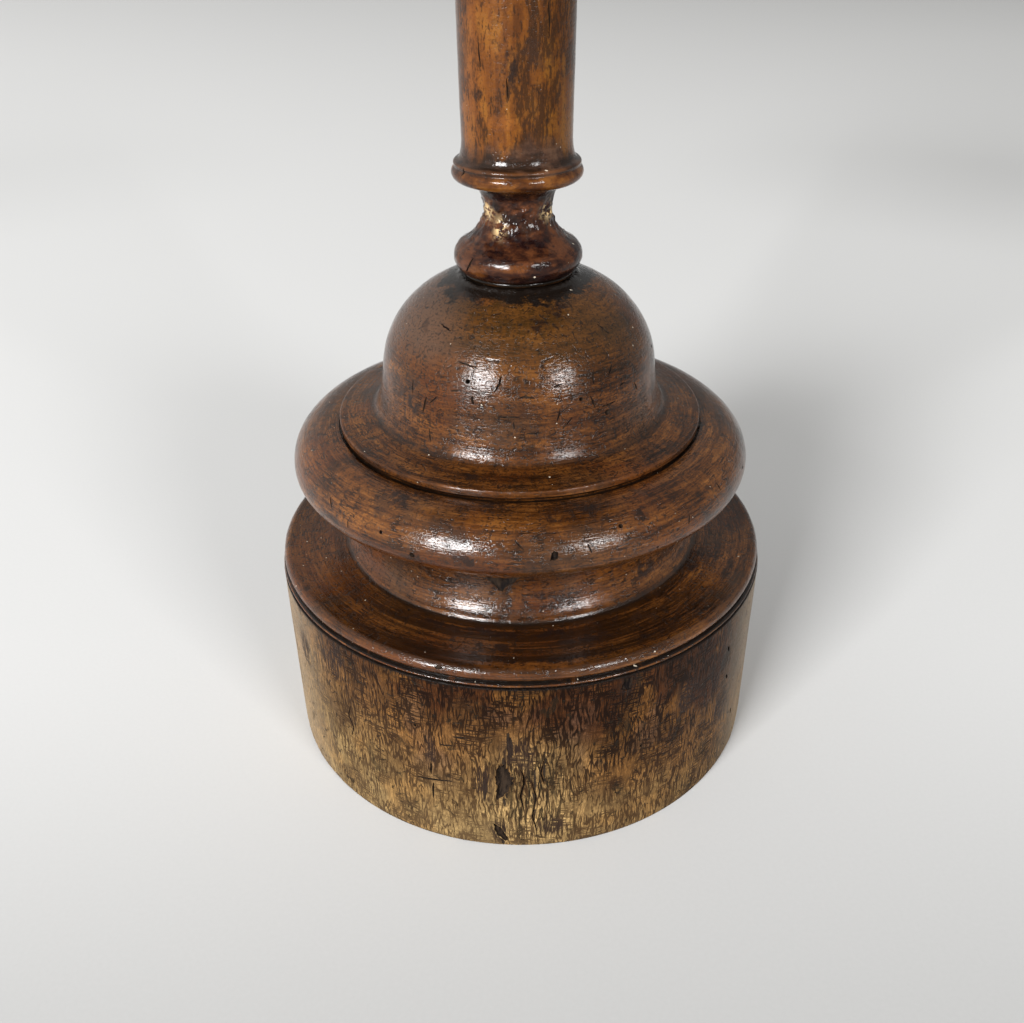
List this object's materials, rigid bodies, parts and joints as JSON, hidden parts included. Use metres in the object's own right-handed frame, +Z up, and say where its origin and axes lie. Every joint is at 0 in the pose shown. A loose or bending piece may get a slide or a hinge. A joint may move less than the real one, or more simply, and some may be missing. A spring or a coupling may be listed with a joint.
{
  "type": "tilt top table",
  "caption": "Round pedestal table on a turned drum base with a domed plinth; the top tilts upright on side pins and locks flat with a sliding bolt.",
  "frame": {"origin": "centre of the drum's underside, on the floor", "axes": "+Z up along the column; the edge that swings down when the top is tilted faces -Y; the tilting axis is parallel to X"},
  "size_m": [0.5198, 0.5198, 0.72],
  "materials": {
    "polished_wood": "old shellac over walnut-coloured wood, glossy on the mouldings, scratched and stained",
    "worn_wood": "worn, faded and almost bare wood with open pores, semi-matt",
    "plain_wood": "unpolished",
    "brass": "aged and tarnished",
    "iron": "dark, lightly rusted"
  },
  "bodies": {
    "root": {"drum": "worn_wood", "plinth_moulding": "polished_wood", "dome": "polished_wood", "column": "polished_wood", "column_head_wedge": "plain_wood", "column_foot_wedge": "plain_wood", "pivot_block": "polished_wood", "pivot_pin_left": "plain_wood", "pivot_pin_right": "plain_wood", "keeper_plate": "brass", "keeper_screw_left": "brass", "keeper_screw_right": "brass"},
    "tabletop": {"top_board_front": "polished_wood", "top_board_middle": "polished_wood", "top_board_rear": "polished_wood", "bearer_left": "polished_wood", "bearer_right": "polished_wood", "bearer_screw_left_1": "iron", "bearer_screw_left_2": "iron", "bearer_screw_left_3": "iron", "bearer_screw_left_4": "iron", "bearer_screw_right_1": "iron", "bearer_screw_right_2": "iron", "bearer_screw_right_3": "iron", "bearer_screw_right_4": "iron", "catch_plate": "brass", "catch_staple_front": "brass", "catch_staple_rear": "brass", "catch_screw_1": "brass", "catch_screw_2": "brass", "catch_screw_3": "brass", "catch_screw_4": "brass"},
    "catch_bolt": {"catch_bolt": "brass", "catch_knob": "brass"}
  },
  "joints": [
    {"name": "top_tilt", "type": "hinge", "parent": "root", "child": "tabletop", "pos_m": [0, -0.075, 0.6885], "axis": [1, 0, 0], "range_deg": [0, 90]},
    {"name": "catch_slide", "type": "slide", "parent": "tabletop", "child": "catch_bolt", "axis": [0, -1, 0], "range_m": [0, 0.01]}
  ]
}
